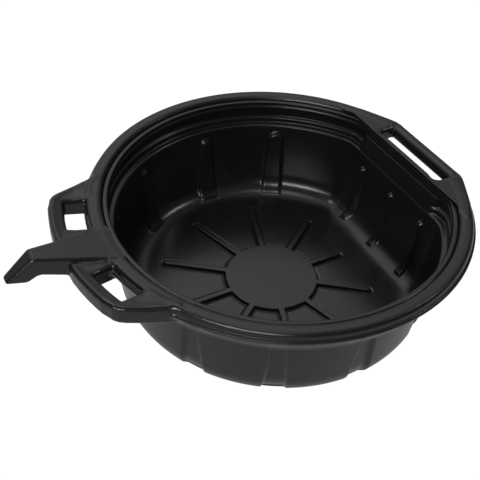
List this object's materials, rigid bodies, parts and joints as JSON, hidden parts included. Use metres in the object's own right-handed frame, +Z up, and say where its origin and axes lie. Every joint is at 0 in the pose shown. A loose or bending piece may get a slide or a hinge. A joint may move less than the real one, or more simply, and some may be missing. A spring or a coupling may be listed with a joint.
{
  "type": "oil drain pan",
  "caption": "Round oil drain pan with a splash lip, a pouring spout flanked by loop handles, and a slotted grip handle over its flat side.",
  "frame": {"origin": "bottom centre of the bounding box, on the ground the pan stands on", "axes": "+X towards the grip handle, -X towards the pouring spout, +Z up; the pan mirrors across the plane y = 0"},
  "size_m": [0.5962, 0.4922, 0.172],
  "materials": {
    "black_plastic": "black moulded polyethylene with a soft satin sheen"
  },
  "bodies": {
    "root": {"floor_pan": "black_plastic", "floor_edge": "black_plastic", "wall_foot": "black_plastic", "floor_star": "black_plastic", "round_wall": "black_plastic", "flat_wall": "black_plastic", "shoulder": "black_plastic", "neck": "black_plastic", "splash_lip": "black_plastic", "far_rim_roll": "black_plastic", "near_rim_roll": "black_plastic", "far_rim_skirt": "black_plastic", "near_rim_skirt": "black_plastic", "handle_deck": "black_plastic", "grip_bar": "black_plastic", "far_loop": "black_plastic", "near_loop": "black_plastic", "spout_body": "black_plastic", "spout_end": "black_plastic"}
  },
  "joints": []
}
